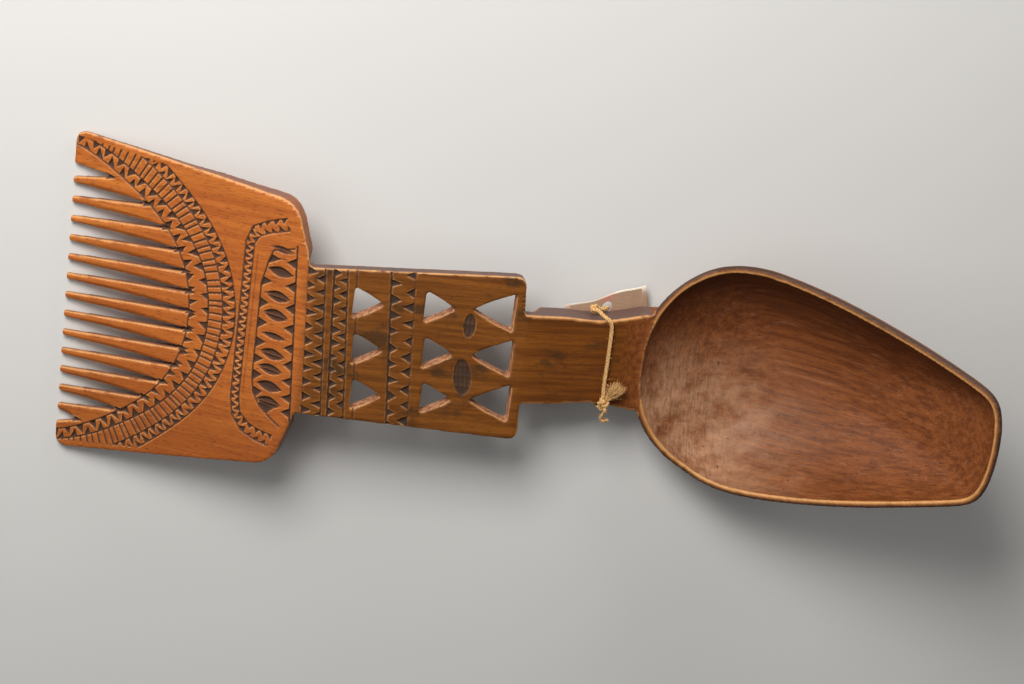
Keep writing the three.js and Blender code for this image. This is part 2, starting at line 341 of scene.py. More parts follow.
def face_places(flat):
    """u, y and height over the carved face, on the comb, the block and the neck."""
    x, y, z = flat.T
    on_comb = x < z * math.tan(BEND / 2) * -1
    comb_u = x * math.cos(BEND) + z * math.sin(BEND)
    comb_h = -x * math.sin(BEND) + z * math.cos(BEND)
    neck_h = z + np.maximum(x - BLOCK_LENGTH, 0) * math.tan(NECK_SLOPE)
    return np.where(on_comb, comb_u, x), y, np.where(on_comb, comb_h, neck_h), on_comb


print("bend at", bend_point.round(2), "mm")

# %% [markdown]
# ## Even faces for the wood
#
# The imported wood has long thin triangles, which can't hold fine cuts. A voxel
# remesh gives faces of one even size and takes the machine sharpness off every
# edge, as years of handling do. The carved face is then divided once more,
# because a knife line is only half a millimetre wide.

# %% Remesh a copy of the wood
VOXEL = 0.43


def remeshed_copy(node, name, voxel):
    mesh = frame["nodes"][node].data.copy()
    joined = bmesh.new()
    joined.from_mesh(mesh)
    bmesh.ops.remove_doubles(joined, verts=joined.verts, dist=1e-6)
    joined.to_mesh(mesh)
    joined.free()
    piece = bpy.data.objects.new(name, mesh)
    scene.collection.objects.link(piece)
    remesh = piece.modifiers.new("even_faces", "REMESH")
    remesh.mode = "VOXEL"
    remesh.voxel_size = voxel * MM
    graph = bpy.context.evaluated_depsgraph_get()
    even = bpy.data.meshes.new_from_object(piece.evaluated_get(graph))
    piece.modifiers.clear()
    piece.data = even
    even.materials.clear()
    return piece


def points_of(mesh):
    flat = np.empty(len(mesh.vertices) * 3)
    mesh.vertices.foreach_get("co", flat)
    return flat.reshape(-1, 3) / MM


def normals_of(mesh):
    flat = np.empty(len(mesh.vertices) * 3)
    mesh.vertices.foreach_get("normal", flat)
    return flat.reshape(-1, 3)


def move_points(mesh, points):
    mesh.vertices.foreach_set("co", (points * MM).ravel())
    mesh.update()


wood = remeshed_copy("carved_comb_spoon", "carved_wood", VOXEL)
print("wood:", len(wood.data.vertices), "points after the remesh")

# %% Soften the steps


def neighbours_mean(mesh, points, rounds, share=0.5):
    """Moves each point towards the mean of its neighbours, several times."""
    edges = np.empty(len(mesh.edges) * 2, dtype=np.int64)
    mesh.edges.foreach_get("vertices", edges)
    first, second = edges.reshape(-1, 2).T
    count = len(points)
    links = np.bincount(first, minlength=count) + np.bincount(second, minlength=count)
    for _ in range(rounds):
        total = np.empty_like(points)
        for k in range(points.shape[1]):
            total[:, k] = np.bincount(first, points[second, k], count)
            total[:, k] += np.bincount(second, points[first, k], count)
        points = points + share * (total / links[:, None] - points)
    return points


softened = neighbours_mean(wood.data, points_of(wood.data), 2, 0.6)
softened = neighbours_mean(wood.data, softened, 1, -0.3)
move_points(wood.data, softened)

# %% [markdown]
# ## A true bowl
#
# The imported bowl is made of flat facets. The carver's bowl is a fair curve, so
# each point near its inside or outside is moved the last tenth of a millimetre
# onto the curve that the facets stand for: a squashed egg whose outline is the
# rim, seen from above, and whose section is a half round.

# %% Describe the bowl's curve
BOWL = {
    "length": 104.3, "widest": 31.6, "half_width": 33.9, "depth": 24.5, "wall": 3.0,
    "taper": 0.568, "taper_power": 1.5, "tip_squareness": 40, "neck_squareness": 2.25,
    "rim": 1.9, "pitch": math.radians(33.3), "neck_lip": 8.4, "tip_lip": 1.6,
}
NECK_END = BLOCK_LENGTH + 35.0
BOWL_MIDDLE = BOWL["widest"] * 1.25
ROUNDNESS = 1.15


def rim_outline(turns):
    """The rim seen from above, from the tip at 0 to the neck at pi."""
    ahead, side = np.cos(turns), np.sin(turns)
    tip_half = BOWL["half_width"] * (1 - BOWL["taper"] * np.abs(ahead) ** BOWL["taper_power"])
    tip = np.stack([
        BOWL["widest"] + (BOWL["length"] - BOWL["widest"]) * ahead,
        np.sign(side) * tip_half * np.sqrt(np.maximum(1 - ahead ** BOWL["tip_squareness"], 0)),
    ], axis=1)
    power = 2 / BOWL["neck_squareness"]
    neck = np.stack([
        BOWL["widest"] * (1 - np.abs(ahead) ** power),
        BOWL["half_width"] * np.sign(side) * np.abs(side) ** power,
    ], axis=1)
    return np.where((ahead >= 0)[:, None], tip, neck)


def rim_lift(x):
    """How far the rim stands above its own plane."""
    reach, tip_start = 17, BOWL["length"] * 0.73
    to_neck = np.maximum(reach - x, 0) / reach
    to_tip = np.maximum(x - tip_start, 0) / (BOWL["length"] - tip_start)
    return BOWL["neck_lip"] * to_neck ** 1.2 + BOWL["tip_lip"] * to_tip ** 2


def bowl_places(flat):
    """Points in the bowl's own axes: x to the tip, z out of the hollow."""
    start_x = NECK_END - 1.3
    start_z = -(NECK_END - BLOCK_LENGTH) * math.tan(NECK_SLOPE) - 0.4
    cos_pitch, sin_pitch = math.cos(BOWL["pitch"]), math.sin(BOWL["pitch"])
    lift = BOWL["neck_lip"]
    x = flat[:, 0] - start_x - lift * sin_pitch
    z = flat[:, 2] - start_z + lift * cos_pitch
    return np.stack([x * cos_pitch + z * sin_pitch, flat[:, 1], z * cos_pitch - x * sin_pitch], 1)


print("bowl rim", BOWL["length"], "mm long")

# %% Measure from the curve


def bowl_shell(inset, depth):
    """A function that is 0 on the curve, below 0 inside it, for points under the rim."""
    turns = np.linspace(-math.pi, math.pi, 1441)
    outline = rim_outline(turns)
    along = np.gradient(outline, axis=0)
    along /= np.linalg.norm(along, axis=1)[:, None]
    outline = outline + inset * np.stack([-along[:, 1], along[:, 0]], axis=1)
    angles = np.arctan2(outline[:, 1], outline[:, 0] - BOWL_MIDDLE)
    reach = np.hypot(outline[:, 1], outline[:, 0] - BOWL_MIDDLE)
    order = np.argsort(angles)
    angles, reach, ends = angles[order], reach[order], outline[order, 0]

    def shell(points):
        dx, dy = points[:, 0] - BOWL_MIDDLE, points[:, 1]
        angle = np.arctan2(dy, dx)
        out = np.hypot(dx, dy) / np.interp(angle, angles, reach)
        lift = rim_lift(np.interp(angle, angles, ends)) * out ** 2
        down = np.maximum(lift - points[:, 2], 0) / depth
        return np.sqrt(out ** 2 + down ** (2 / ROUNDNESS)) - 1

    return shell


def distance_and_way(shell, points):
    """Distance to where shell is 0, and the way away from it."""
    step = 0.02
    here = shell(points)
    slope = np.empty_like(points)
    for k in range(3):
        moved = points.copy()
        moved[:, k] += step
        slope[:, k] = (shell(moved) - here) / step
    size = np.maximum(np.linalg.norm(slope, axis=1), 1e-6)
    return here / size, slope / size[:, None]


inner_shell = bowl_shell(BOWL["rim"], BOWL["depth"] - BOWL["wall"])
outer_shell = bowl_shell(0, BOWL["depth"])

# %% Draw the points onto the curve
NEAR = 0.3


def from_bowl(ways):
    """Turns directions from the bowl's axes back to the block's."""
    c, s = math.cos(BOWL["pitch"]), math.sin(BOWL["pitch"])
    x, y, z = ways.T
    return np.stack([x * c - z * s, y, x * s + z * c], axis=1)


def unflat(ways):
    """Turns directions from the block's axes to the scene's."""
    x, y, z = ways.T
    return np.outer(x, block_ahead) + np.outer(y, [0, 1, 0]) + np.outer(z, face_normal)


points = points_of(wood.data)
in_bowl = bowl_places(laid_flat(points))
hollow = np.zeros(len(points))
for shell in (outer_shell, inner_shell):
    distance, way = distance_and_way(shell, in_bowl)
    near = (np.abs(distance) < NEAR) & (in_bowl[:, 2] < rim_lift(in_bowl[:, 0]) - 0.6)
    near &= in_bowl[:, 0] > -2
    fix = np.where(near, distance, 0)[:, None] * way
    points = points - unflat(from_bowl(fix))
move_points(wood.data, points)
print("points drawn onto the bowl:", int(near.sum()), "inside")

# %% [markdown]
# ## The carved pattern
#
# Every cut is chip carving: a knife goes in at a slant, twice or three times,
# and a chip lifts out. Lines are V grooves, zigzag bands are two facing rows
# of triangular chips, and the eyes in the leaf band are two long slants that
# meet. Each kind is one function of u and y that gives a depth, so the whole
# pattern is their deepest value, and it moves the points of the carved face.

# %% Kinds of cut
rng = np.random.default_rng(7)
CHIP_SLOPE = 1.7


def groove(offset, width, depth):
    """A knife line: a V groove at offset 0."""
    return depth * np.clip(1.15 - np.abs(offset) / (width / 2), 0, 1)


def chips(along, across, pitch, half, reach, depth, shift=0.0, lean=0.0, uneven=0.16):
    """A row of triangular chips, based on across 0 and pointing to +across."""
    index = np.round((along - shift) / pitch).astype(int) % 97
    shake = rng.uniform(-1, 1, (4, 97))[:, index]
    local = (along - shift) - np.round((along - shift) / pitch) * pitch
    local = local - shake[0] * uneven * pitch * 0.35 - lean * across
    half_here = half * (1 + uneven * shake[1])
    reach_here = reach * (1 + uneven * shake[2])
    inside = half_here * (1 - across / reach_here) - np.abs(local)
    cut = np.minimum(inside * CHIP_SLOPE, across * 1.6 + 0.12)
    return np.where(across > -0.1, np.clip(cut, 0, depth * (1 + 0.3 * shake[3])), 0)


def inside_band(offset, low, high, soft=0.15):
    return np.clip((offset - low) / soft, 0, 1) * np.clip((high - offset) / soft, 0, 1)


def polyline(points, u, y):
    """Distance run along a line of straight pieces, and the signed way off it to the left."""
    best = np.full(u.shape, 1e9)
    run = np.zeros(u.shape)
    off = np.zeros(u.shape)
    start = 0.0
    for (u0, y0), (u1, y1) in zip(points, points[1:]):
        length = math.hypot(u1 - u0, y1 - y0)
        du, dy = (u1 - u0) / length, (y1 - y0) / length
        s = (u - u0) * du + (y - y0) * dy
        held = np.clip(s, 0, length)
        gap = np.hypot(u - u0 - held * du, y - y0 - held * dy)
        closer = gap < best
        best = np.where(closer, gap, best)
        run = np.where(closer, start + s, run)
        off = np.where(closer, np.sign((y - y0) * du - (u - u0) * dy) * gap, off)
        start += length
    return run, off, start


# %% The bands round the teeth
TOOTH = {"count": 13, "pitch": 5.62, "offset": -1.1, "root": 36.9, "tip": 1.6, "slit": 0.9}
ARC_CENTRE = (-73.0, 0.5)
ARC_ANGLES = (0, 20, 33, 47, 57, 67, 78, 90)
ARCS = (
    # how far each line is from the centre at those angles from the middle
    (38.0, 38.1, 38.1, 37.8, 37.9, 38.6, 40.3, 42.9),
    (43.8, 43.6, 42.6, 41.7, 41.4, 42.2, 43.7, 45.8),
    (48.0, 47.7, 46.9, 46.3, 46.4, 47.3, 49.2, 51.5),
    (51.8, 51.2, 50.2, 49.3, 49.8, 51.0, 53.0, 55.0),
)
COMB_MARGIN = 1.1


def arc_reach(angle, reaches):
    """Distance from the centre to a line, smooth between the given angles."""
    fine = np.linspace(-100, 100, 401)
    reach = np.interp(np.abs(fine), ARC_ANGLES, reaches)
    reach = np.convolve(np.pad(reach, 12, "edge"), np.ones(25) / 25, "valid")
    return np.interp(np.degrees(angle), fine, reach)


def arc_bands(u, y):
    """Big zigzag, ladder and small zigzag between four arcs about the teeth."""
    r = np.hypot(u - ARC_CENTRE[0], y - ARC_CENTRE[1])
    angle = np.arctan2(y - ARC_CENTRE[1], u - ARC_CENTRE[0])
    a, b, c, d = (arc_reach(angle, reaches) for reaches in ARCS)
    along = angle * 41
    cut = groove(r - a, 0.5, 0.36)
    cut = np.maximum(cut, chips(along, r - a, 4.0, 1.2, 2.7, 0.7, 0.0, 0.25))
    cut = np.maximum(cut, chips(along, b - r, 4.0, 1.2, 2.7, 0.7, 2.0, 0.25))
    cut = np.maximum(cut, groove(r - b, 0.55, 0.42))
    along = angle * 45.5
    pitch = 1.95
    step = np.round(along / pitch).astype(int) % 97
    shake = rng.uniform(-0.3, 0.3, 97)[step]
    rung = groove(along - np.round(along / pitch) * pitch - shake, 0.62, 0.42)
    cut = np.maximum(cut, rung * inside_band(r, b, c - 0.1))
    cut = np.maximum(cut, groove(r - c, 0.5, 0.36))
    along = angle * 49
    cut = np.maximum(cut, chips(along, r - c, 2.8, 1.0, 2.5, 0.6, 0.0, -0.25, 0.2))
    cut = np.maximum(cut, chips(along, d - r, 2.8, 1.05, 2.5, 0.6, 1.4, -0.25, 0.2))
    cut = np.maximum(cut, groove(r - d, 0.5, 0.34))
    return np.where((r > a - 0.6) & (r < d + 0.6), cut, 0)


def gap_end(gap):
    """u where a gap between teeth ends."""
    middle = TOOTH["offset"] + TOOTH["pitch"] * (gap - TOOTH["count"] / 2)
    reach = np.sqrt(np.maximum(TOOTH["root"] ** 2 - middle ** 2, 0))
    return np.maximum(reach, 0.15 * TOOTH["root"]) - COMB_LENGTH


def tooth_ramps(u, y):
    """The saw's slope at the end of each gap, running out just before the first arc."""
    first = TOOTH["offset"] - TOOTH["pitch"] * TOOTH["count"] / 2
    gap = np.round((y - first) / TOOTH["pitch"])
    across = np.abs(y - first - gap * TOOTH["pitch"])
    past = u - gap_end(gap)
    cut = 1.5 * (1 - past / 2.2) - np.maximum(across - 0.2, 0) * 2.6
    here = (past > -1.0) & (past < 2.2) & (gap >= 0) & (gap <= TOOTH["count"])
    return np.where(here, np.clip(cut, 0, 1.6), 0)


def tooth_slants(u, y):
    """The knife's slant along the lower side of each tooth."""
    first = TOOTH["offset"] - TOOTH["pitch"] * TOOTH["count"] / 2
    gap = np.floor((y - first) / TOOTH["pitch"])
    above = y - first - gap * TOOTH["pitch"]
    share = np.clip((u + COMB_LENGTH) / (gap_end(gap) + COMB_LENGTH), 0, 1.1)
    mouth = (TOOTH["pitch"] - TOOTH["tip"]) / 2
    edge = mouth + (TOOTH["slit"] / 2 - mouth) * share
    width = 0.25 + 0.9 * np.sin(np.clip(share, 0, 1) * math.pi) ** 0.8
    width = width * np.clip((1 - share) / 0.12, 0.02, 1)
    slant = (1 - (above - edge) / width) * width * 0.6
    here = (gap >= 0) & (gap < TOOTH["count"]) & (share < 1.0)
    return np.where(here, np.clip(slant, 0, 1.4), 0)


# %% The bent band and the leaf band
BRACKET = [
    (-8.6, 32.0), (-14.0, 30.2), (-17.6, 28.3), (-19.1, 25.0), (-19.2, -20.5),
    (-18.4, -25.2), (-15.4, -28.6), (-11.6, -30.3), (-7.6, -31.2),
]
FAINT_LINE = [(-16.6, 22.0), (-16.7, -4.0), (-17.0, -19.0)]
LEAF_LEFT = [
    (-6.0, 25.6), (-12.2, 24.0), (-13.4, 20.5), (-14.8, 14.0), (-14.8, -13.0),
    (-14.0, -18.0), (-11.6, -21.8), (-8.2, -24.6), (-5.3, -26.6),
]
EYES = (24.6, 18.3, 11.2, 5.7, -0.4, -5.7, -10.2, -15.2, -19.9)
EYE = {"u": -9.5, "half_length": 3.9, "half_height": 1.68, "lean": -0.13}


def bent_band(u, y):
    run, off, total = polyline(BRACKET, u, y)
    arm = np.clip((np.abs(y) - 25) / 5, 0, 1)
    half = 1.2 + 0.55 * arm
    within = (run > 0) & (run < total)
    cut = np.maximum(groove(off - half, 0.5, 0.34), groove(off + half, 0.5, 0.34))
    cut = np.maximum(cut, chips(run, half - off, 2.3, 0.95, 1.75, 0.5, 0.0, 0.3, 0.2))
    cut = np.maximum(cut, chips(run, half + off, 2.3, 0.95, 1.75, 0.5, 1.15, 0.3, 0.2))
    cut = np.where(within & (np.abs(off) < half + 0.3), cut, 0)
    faint_run, faint_off, faint_total = polyline(FAINT_LINE, u, y)
    faint = groove(faint_off, 0.4, 0.09)
    return np.maximum(cut, np.where((faint_run > 0) & (faint_run < faint_total), faint, 0))


def eyes(u, y):
    cut = np.zeros_like(u)
    for i, middle in enumerate(EYES):
        du = (u - EYE["u"] - rng.uniform(-0.3, 0.3)) / EYE["half_length"]
        dy = y - middle - EYE["lean"] * (u - EYE["u"])
        size = EYE["half_height"] * (0.6 if i in (0, 4) else rng.uniform(0.85, 1.1))
        inside = size * (1 - np.abs(du) ** 1.8) - np.abs(dy)
        depth = np.clip(inside * 1.25, 0, 0.95)
        if i % 3 != 1:
            depth = depth * (1 - 0.8 * np.exp(-((dy + 0.15) / 0.28) ** 2))
        cut = np.maximum(cut, depth)
    return cut


def leaf_band(u, y):
    run, off, total = polyline(LEAF_LEFT, u, y)
    line = np.where((run > 0) & (run < total), groove(off, 0.55, 0.4), 0)
    right = u - slanting(y, -5.5, -2.7)
    line = np.maximum(line, groove(right, 0.6, 0.45))
    line = np.where((y < 26.5) & (y > -27.5), line, 0)
    cut = np.maximum(line, eyes(u, y))
    for upper, lower in zip(EYES, EYES[1:] + (-23.9,)):
        dy = y - (upper + lower) / 2
        for offset, lean in ((off, 0.15), (-right, -0.05)):
            half, reach = rng.uniform(1.5, 1.85), rng.uniform(2.7, 3.2)
            inside = half * (1 - offset / reach) - np.abs(dy - lean * offset)
            chip = np.clip(np.minimum(inside * 1.5, offset * 2 + 0.2), 0, 0.8)
            cut = np.maximum(cut, np.where(offset > -0.1, chip, 0))
    return cut


# %% The block's grooves, bands and marks
TOP_END = 25.0
LOW_END = -22.0
GROOVES = [
    # u at the top end, u at the low end, width, depth
    (-2.1, 0.6, 0.35, 0.10), (2.7, 6.0, 0.5, 0.36), (5.2, 7.9, 0.6, 0.46),
    (8.8, 12.4, 0.5, 0.36), (11.3, 15.1, 0.5, 0.26), (20.8, 24.6, 0.6, 0.40),
    (27.6, 30.5, 0.4, 0.12),
]
BANDS = [
    # the grooves on each side, pitch, half base, reach
    ((-2.1, 0.6), (2.7, 6.0), 4.05, 1.25, 2.9),
    ((5.2, 7.9), (8.8, 12.4), 4.05, 1.2, 2.4),
    ((20.8, 24.6), (27.6, 30.5), 4.75, 1.5, 2.9),
]
OVALS = [(44.4, 8.8, 1.75, 3.65, 0.0), (44.3, -6.6, 2.6, 5.6, -0.12)]
KNIFE_MARKS = [(57.8, 18.4), (58.0, 17.1), (58.1, 15.9), (58.3, 14.6)]


def slanting(y, top, low):
    """u of a line across the block that leans from its top end to its low end."""
    return low + (top - low) * (y - LOW_END) / (TOP_END - LOW_END)


def block_lines(u, y):
    cut = np.zeros_like(u)
    for top, low, width, depth in GROOVES:
        cut = np.maximum(cut, groove(u - slanting(y, top, low), width, depth))
    for left, right, pitch, half, reach in BANDS:
        ahead = u - slanting(y, *left)
        behind = slanting(y, *right) - u
        cut = np.maximum(cut, chips(y, ahead, pitch, half, reach, 0.62, 0.4, 0.0, 0.2))
        shift = 0.4 + pitch / 2
        cut = np.maximum(cut, chips(y, behind, pitch, half, reach, 0.62, shift, 0.0, 0.2))
    return cut


def block_marks(u, y):
    """Two hatched ovals and a few slips of the knife."""
    cut = np.zeros_like(u)
    for middle_u, middle_y, half_u, half_y, lean in OVALS:
        du = u - middle_u - lean * (y - middle_y)
        dy = y - middle_y
        inside = 1 - np.sqrt((du / half_u) ** 2 + (dy / half_y) ** 2)
        bed = np.clip(inside * 2.4, 0, 0.32)
        hatch = 0.16 * np.clip(np.sin(du * 5.2 + 0.4 * np.sin(dy * 1.7)) - 0.1, 0, 1)
        bars = 0.14 * np.clip(np.sin(dy * 2.1 + 0.6) - 0.3, 0, 1)
        pattern = bed + (hatch - bars) * np.clip(inside * 5, 0, 1)
        cut = np.maximum(cut, np.where(inside > 0, pattern, 0))
    for mark_u, mark_y in KNIFE_MARKS:
        run = (u - mark_u) / 2.2
        slip = 0.2 * np.clip(1 - np.abs(y - mark_y - 0.1 * (u - mark_u)) / 0.34, 0, 1)
        cut = np.maximum(cut, slip * np.clip(run * 3, 0, 1) * (u < 61))
    return cut


def carved_depth(u, y, on_comb):
    edge = TIP_HALF_WIDTH + (u + COMB_LENGTH) * (
        (SHOULDER_HALF_WIDTH - TIP_HALF_WIDTH) / (COMB_LENGTH - SHOULDER)
    )
    margin = np.clip((edge - np.abs(y) - COMB_MARGIN) / 0.5, 0, 1)
    comb = np.maximum(arc_bands(u, y) * margin, bent_band(u, y))
    comb = np.maximum(comb, leaf_band(u, y))
    block = np.where((u > -3.2) & (u < BLOCK_LENGTH + 2), block_lines(u, y), 0)
    block = np.where(u < 34, block, 0)
    block = np.maximum(block, block_marks(u, y))
    return np.maximum(np.where(u < 0.5, comb, 0), block)


print("pattern:", len(EYES), "eyes,", len(GROOVES), "grooves,", len(BANDS), "block bands")

# %% Divide the carved face


def on_face(mesh):
    """u, y, height and how far each point belongs to the carved upper face."""
    points = points_of(mesh)
    normals = normals_of(mesh)
    u, y, height, on_comb = face_places(laid_flat(points))
    c, s = math.cos(BEND), math.sin(BEND)
    comb_normal = c * face_normal - s * block_ahead
    up = np.where(on_comb, normals @ comb_normal, normals @ face_normal)
    level = (np.abs(height) < 0.75) & (u < BLOCK_LENGTH + 1)
    return u, y, height, on_comb, np.where(level, np.clip((up - 0.3) / 0.4, 0, 1), 0)


def divide_face(piece):
    u, y, height, on_comb, face = on_face(piece.data)
    chosen = face > 0.3
    fine = bmesh.new()
    fine.from_mesh(piece.data)
    fine.verts.ensure_lookup_table()
    edges = [e for e in fine.edges if chosen[e.verts[0].index] and chosen[e.verts[1].index]]
    bmesh.ops.subdivide_edges(fine, edges=edges, cuts=1, use_grid_fill=True)
    fine.to_mesh(piece.data)
    fine.free()
    piece.data.update()


divide_face(wood)
print("wood:", len(wood.data.vertices), "points,", len(wood.data.polygons), "faces")

# %% Carve it
u, y, height, on_comb, face = on_face(wood.data)
depth = carved_depth(u, y, on_comb) * (face > 0)
ramps = np.where(on_comb & (np.abs(height) < 2.0), tooth_ramps(u, y), 0)
ramp_sink = np.clip(ramps + height, 0, 1.6) * (ramps > 0)
slants = np.where(on_comb & (np.abs(height) < 1.6), tooth_slants(u, y), 0)
slant_sink = np.clip(slants + height, 0, 1.4) * (slants > 0)
sink = np.maximum.reduce([depth * face, ramp_sink, slant_sink])
c, s = math.cos(BEND), math.sin(BEND)
comb_normal = c * face_normal - s * block_ahead
down = np.where(on_comb[:, None], -comb_normal, -face_normal)
points = points_of(wood.data)
uneven = np.array([
    noise.noise(Vector(p) * 0.11) + 0.5 * noise.noise(Vector(p) * 0.31) for p in points
])
normals = normals_of(wood.data)
points = points + normals * (uneven * 0.055)[:, None] + down * sink[:, None]
print("deepest cut", round(float(sink.max()), 2), "mm")

# %% [markdown]
# The comb's shoulders and sides were sawn a little out of square: they slope
# outward as they go down, so their faces show from above. The lowest points
# are then kept on the floor that the piece lies on.

# %% Slope the comb's sides
SHOULDER_SLOPE = 0.42
SIDE_SLOPE = 0.12
SHOULDER_THICKNESS = 5.4
below = np.clip(-height, 0, SHOULDER_THICKNESS) * on_comb * (u > -40)
to_shoulder = np.clip((u + 20) / 8, 0, 1) * np.clip((np.abs(y) - 21.5) / 4, 0, 1) * (u < -2)
comb_ahead = c * block_ahead + s * face_normal
points = points + np.outer(SHOULDER_SLOPE * below * to_shoulder, comb_ahead)
to_side = np.clip((np.abs(y) - 35) / 4, 0, 1) * np.clip((u + 40) / 10, 0, 1)
points[:, 1] += np.sign(y) * SIDE_SLOPE * below * to_side
points[:, 2] = np.maximum(points[:, 2], 0.0)
move_points(wood.data, points)
print("sides sloped by up to", round(SHOULDER_SLOPE * SHOULDER_THICKNESS, 2), "mm")

# %% [markdown]
# ## What the material needs to know
#
# Grime and painted shade lie in the cuts, painted shade darkens the concave
# places, handling brightens the sharp edges, and painted highlights run along
# the sides that face the main lamp. The walls of the openings were left rough,
# and the side faces get a painted cool reflection. Those places are known while
# the mesh is made, so they are stored on its points for the material to read.
# The bowl's rim has a painted highlight along its inner side and painted shade
# on its dark outer side.

# %% Store the masks


def store(mesh, name, values):
    layer = mesh.attributes.new(name, "FLOAT", "POINT")
    layer.data.foreach_set("value", values.astype(np.float32))


flat = laid_flat(points)
normals = normals_of(wood.data)
wide = neighbours_mean(wood.data, points, 7)
bulge = np.einsum("ij,ij->i", points - wide, normals)
in_bowl = bowl_places(flat)
inner, _ = distance_and_way(inner_shell, in_bowl)
hollow = np.clip(1 - np.abs(inner) / 0.5, 0, 1) * (in_bowl[:, 2] < rim_lift(in_bowl[:, 0]) + 0.3)
sideways = 1 - np.abs(normals @ face_normal)
opening = (flat[:, 0] > 8) & (flat[:, 0] < BLOCK_LENGTH - 1.4) & (flat[:, 2] > -4.6)
opening &= np.abs(flat[:, 1]) < BLOCK_HALF_WIDTH
opening &= (normals @ block_ahead < 0.5) | (flat[:, 0] < LAST_COLUMN_MIDDLE)
wall = np.where(opening & (depth < 0.05), np.clip((sideways - 0.35) / 0.4, 0, 1), 0)
# The cuts' depth, read for grime and painted shade in the cuts and for roughness.
store(wood.data, "cut", np.clip(np.maximum(depth, ramp_sink * 0.5) / 0.4, 0, 1))
# Painted highlight: the upper sides that face +Y, towards the main lamp, are brightened along with the worn edges.
outer_way = np.clip((1 - np.abs(sideways * 2 - 1.1)) / 0.5, 0, 1) * (height > -1.0) * (wall == 0)
outer_way *= (normals[:, 1] > 0.15) & (flat[:, 0] < NECK_END) & (ramp_sink + slant_sink == 0)
bright = np.maximum(np.clip((bulge - 0.04) / 0.16, 0, 1), 0.85 * outer_way)
store(wood.data, "bright_edge", bright * (depth < 0.05))
# Painted shade: concave places are marked to be darkened.
store(wood.data, "dip", np.clip((-bulge - 0.03) / 0.15, 0, 1))
store(wood.data, "hollow", hollow)
store(wood.data, "rough_wall", wall)
# Painted reflection: the side faces are marked for a cool grey mauve sheen.
outer_side = np.clip((sideways - 0.5) / 0.3, 0, 1) * (wall == 0) * (flat[:, 0] < NECK_END + 2)
shoulder_side = (normals @ comb_ahead > 0.4) & (flat[:, 0] < 0) & (np.abs(flat[:, 1]) > 22)
store(wood.data, "outer_side", outer_side * ((np.abs(normals[:, 1]) > 0.5) | shoulder_side))
outer, _ = distance_and_way(outer_shell, in_bowl)
on_rim = (in_bowl[:, 2] > rim_lift(in_bowl[:, 0]) - 1.2) & (in_bowl[:, 0] > 3)
store(wood.data, "rim_shade", np.clip((outer + 1.05) / 0.4, 0, 1) * on_rim)
# Painted highlight: a bright line along the rim's inner side.
rim_top = (in_bowl[:, 2] > rim_lift(in_bowl[:, 0]) - 0.35) & (in_bowl[:, 0] > 3)
store(wood.data, "rim_line", np.clip((-1.1 - outer) / 0.35, 0, 1) * rim_top)
face_u, face_y, face_h, _ = face_places(flat)
to_bowl = np.clip((flat[:, 0] - NECK_END + 6) / 6, 0, 1)[:, None]
bowl_grain = in_bowl + [NECK_END, 0, 0]
grain_place = np.stack([face_u, face_y, face_h], axis=1) * (1 - to_bowl) + bowl_grain * to_bowl
layer = wood.data.attributes.new("grain_place", "FLOAT_VECTOR", "POINT")
layer.data.foreach_set("vector", grain_place.astype(np.float32).ravel())
wood.data.polygons.foreach_set("use_smooth", [True] * len(wood.data.polygons))
print("masks stored on", len(points), "points")

# %% [markdown]
# ## The wood's finish
#
# The comb is orange brown and freshly handled, the block and neck are darker
# and olive, and the bowl is red brown inside with fine scratches and a painted
# pale sheen low on its inside wall. One material does all of it: colours are
# chosen by the place along the piece, with painted shade towards the comb's low
# edge and on the bowl's upper inside wall, then streaked along the grain, then
# darkened in the cuts with grime and painted shade and rubbed at the edges,
# where painted highlights and a painted reflection on the sides are added too.
# Noise stretched along the piece makes the grain.

# %% Mix the wood's colours
wood_finish = Shader("carved_wood")
w = wood_finish
run = w.along("X")
across = w.along("Y")
wander = w.noise((0.04, 0.12, 0.12), 3) * 14 - 7
grain = w.grain((0.022, 0.55, 0.8), 6, 0.68, 0.3)
fine_grain = w.grain((0.14, 2.6, 2.6), 4, 0.62)
specks = w.grain((0.5, 3.4, 3.4), 2, 0.5)
blotches = w.noise((0.09, 0.13, 0.13), 4, 0.6)
wide_tone = w.noise((0.022, 0.03, 0.03), 2)

comb_tone = w.mix(w.between(grain, 0.35, 0.68), rgb(164, 86, 28), rgb(194, 112, 42))
comb_tone = w.mix(w.between(wide_tone, 0.35, 0.7) * 0.5, comb_tone, rgb(160, 80, 28))
block_tone = w.mix(w.between(grain, 0.35, 0.66), rgb(98, 54, 12), rgb(130, 76, 22))
neck_tone = w.mix(w.between(grain, 0.35, 0.66), rgb(88, 45, 8), rgb(122, 68, 16))
bowl_tone = w.mix(w.between(grain, 0.32, 0.68), rgb(98, 49, 17), rgb(138, 78, 36))
# Painted shade: the comb darkens towards its low edge (-Y), away from the main lamp, as the light falls off there.
comb_tone = w.mix(w.between(across + wander, -8, -36) * 0.45, comb_tone, rgb(128, 64, 22))
past_bend = w.between(run + wander * 0.25, -63.5, -58.5)
past_block = w.between(run + wander * 0.3, -4, 10)
past_neck = w.between(run + wander * 0.25, 27, 36)
tone = w.mix(past_bend, comb_tone, block_tone)
tone = w.mix(past_block, tone, neck_tone)
tone = w.mix(past_neck, tone, bowl_tone)

